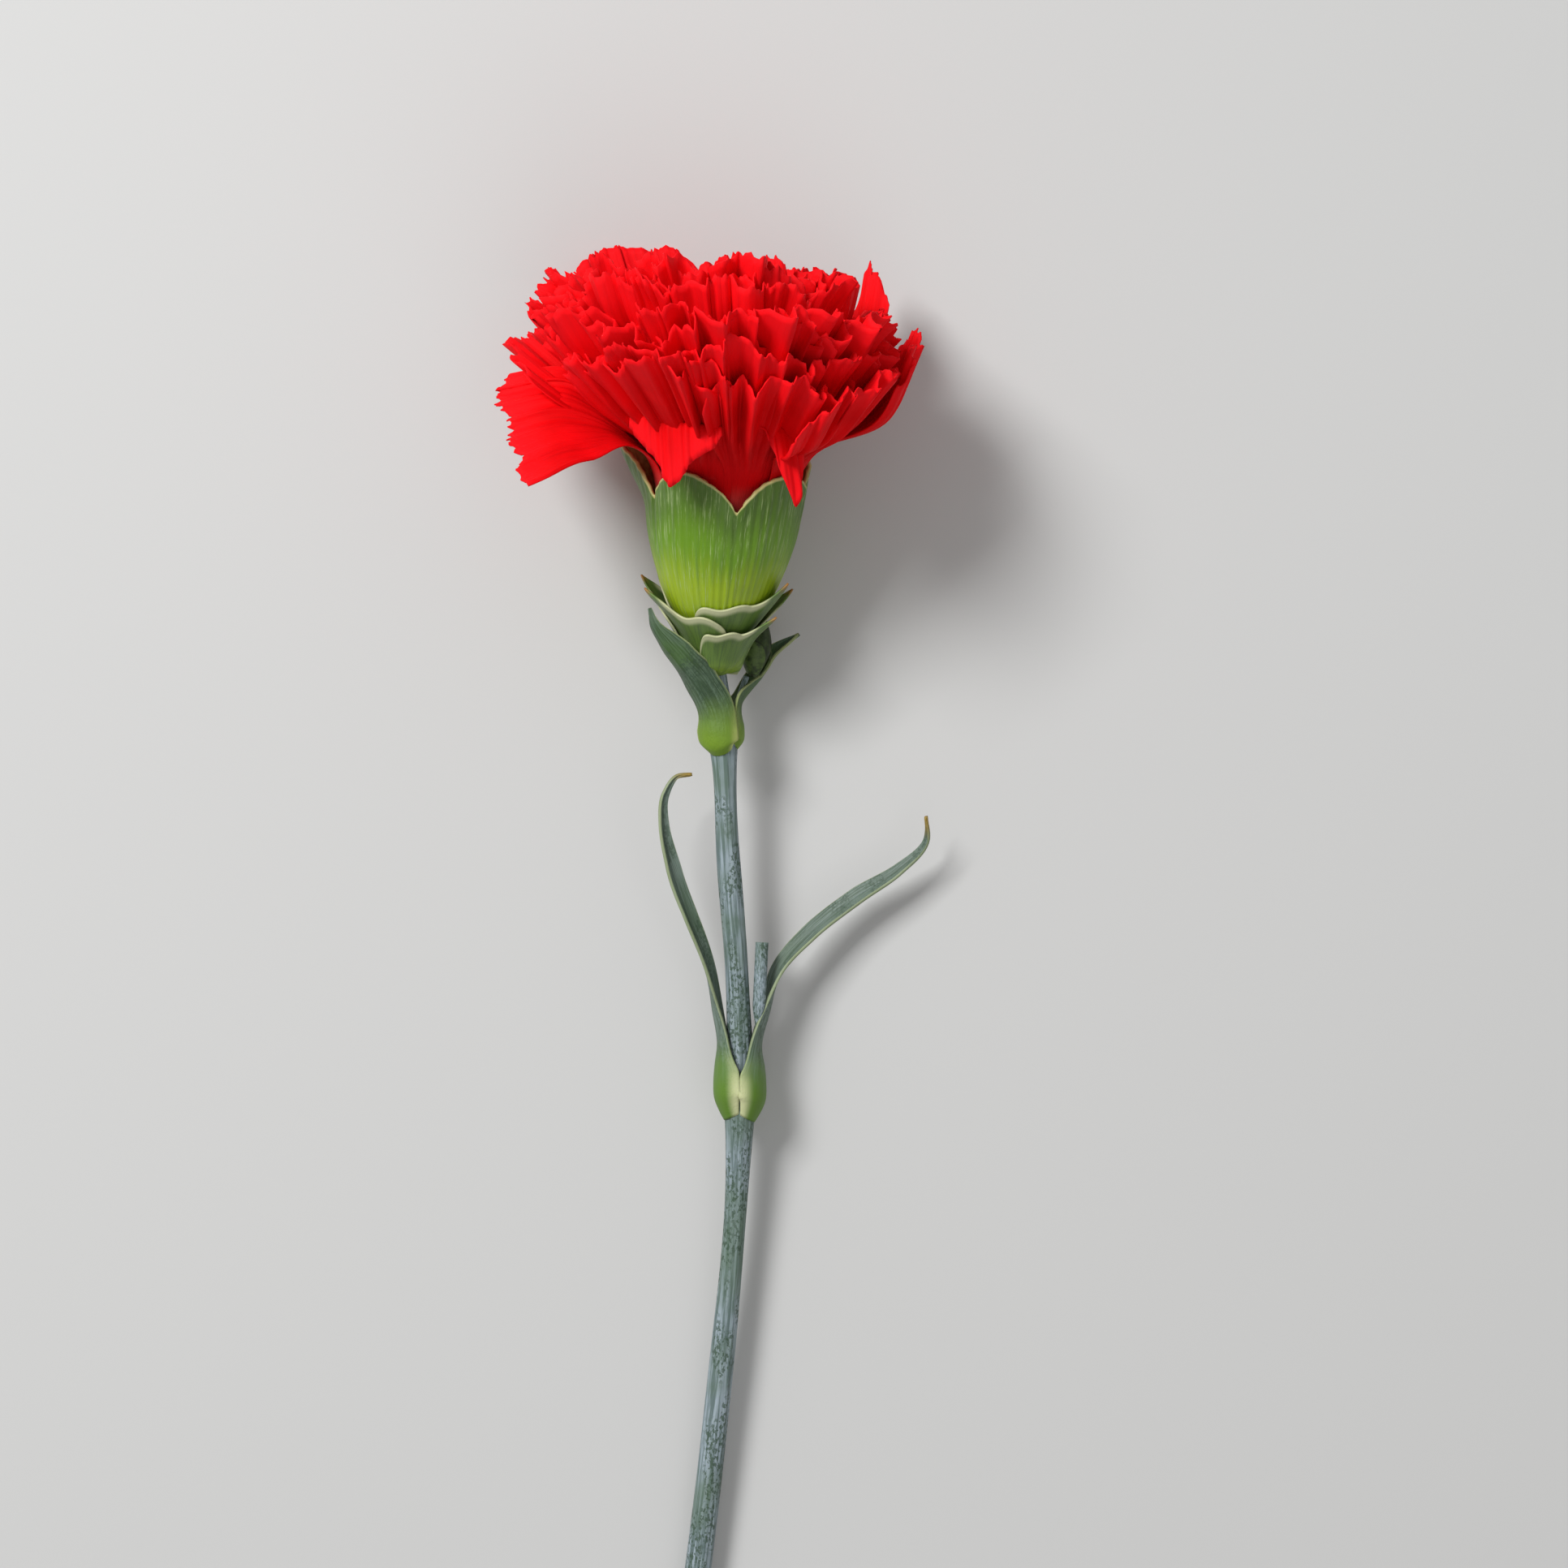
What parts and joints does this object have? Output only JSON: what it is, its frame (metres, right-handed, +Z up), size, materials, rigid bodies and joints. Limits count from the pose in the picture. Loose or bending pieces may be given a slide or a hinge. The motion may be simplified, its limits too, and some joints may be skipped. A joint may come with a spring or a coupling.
{
  "type": "cut carnation",
  "caption": "A cut double carnation lying on its side: ruffled red petals in a green toothed calyx, on a jointed stem with clasping leaves, bracts and a side bud.",
  "frame": {"origin": "on the surface it lies on, under the middle of its bounding box", "axes": "+Z is up from the surface. +Y runs along the stem from its cut end to the flower, and is the longest extent. +X is to the right as seen from above with the flower at the top, the side of the longer outward leaf."},
  "size_m": [0.0686, 0.2506, 0.0586],
  "materials": {
    "petal": "velvety fresh petal, red, pleated, with a pinked edge",
    "stem": "fresh green stem under a blue-grey waxy bloom",
    "leaf": "grey-green waxy leaf",
    "bract": "grey-green leafy bract",
    "calyx": "smooth fleshy calyx, yellow-green to green",
    "calyx_scale": "green scale with a pale papery margin",
    "bud": "small dark green bud",
    "pistil": "pale green, hidden in the flower"
  },
  "bodies": {
    "root": {"stem": "stem", "leaf_left": "leaf", "leaf_right": "leaf", "side_shoot_stub": "stem", "bract_left": "bract", "bract_right": "bract", "bud_stalk": "stem", "side_bud": "bud", "bud_scale_left": "bract", "bud_scale_right": "bract", "calyx": "calyx", "scale_inner_right": "calyx_scale", "scale_inner_left": "calyx_scale", "scale_middle_left": "calyx_scale", "scale_middle_right": "calyx_scale", "scale_outer_right": "calyx_scale", "scale_outer_left": "calyx_scale", "pistil": "pistil", "petal_heart_1": "petal", "petal_heart_2": "petal", "petal_heart_3": "petal", "petal_core_1": "petal", "petal_core_2": "petal", "petal_core_3": "petal", "petal_core_4": "petal", "petal_inner_1": "petal", "petal_inner_2": "petal", "petal_inner_3": "petal", "petal_inner_4": "petal", "petal_inner_5": "petal", "petal_middle_1": "petal", "petal_middle_2": "petal", "petal_middle_3": "petal", "petal_middle_4": "petal", "petal_middle_5": "petal", "petal_upper_1": "petal", "petal_upper_2": "petal", "petal_upper_3": "petal", "petal_upper_4": "petal", "petal_upper_5": "petal", "petal_upper_6": "petal", "petal_outer_1": "petal", "petal_outer_2": "petal", "petal_outer_3": "petal", "petal_outer_4": "petal", "petal_outer_5": "petal", "petal_outer_6": "petal", "petal_guard_front_left": "petal", "petal_guard_left_low": "petal", "petal_guard_left": "petal", "petal_guard_back_left": "petal", "petal_guard_under": "petal", "petal_guard_back_right": "petal", "petal_guard_right_high": "petal", "petal_guard_right": "petal", "petal_guard_right_low": "petal", "petal_guard_front_right": "petal"}
  },
  "joints": []
}
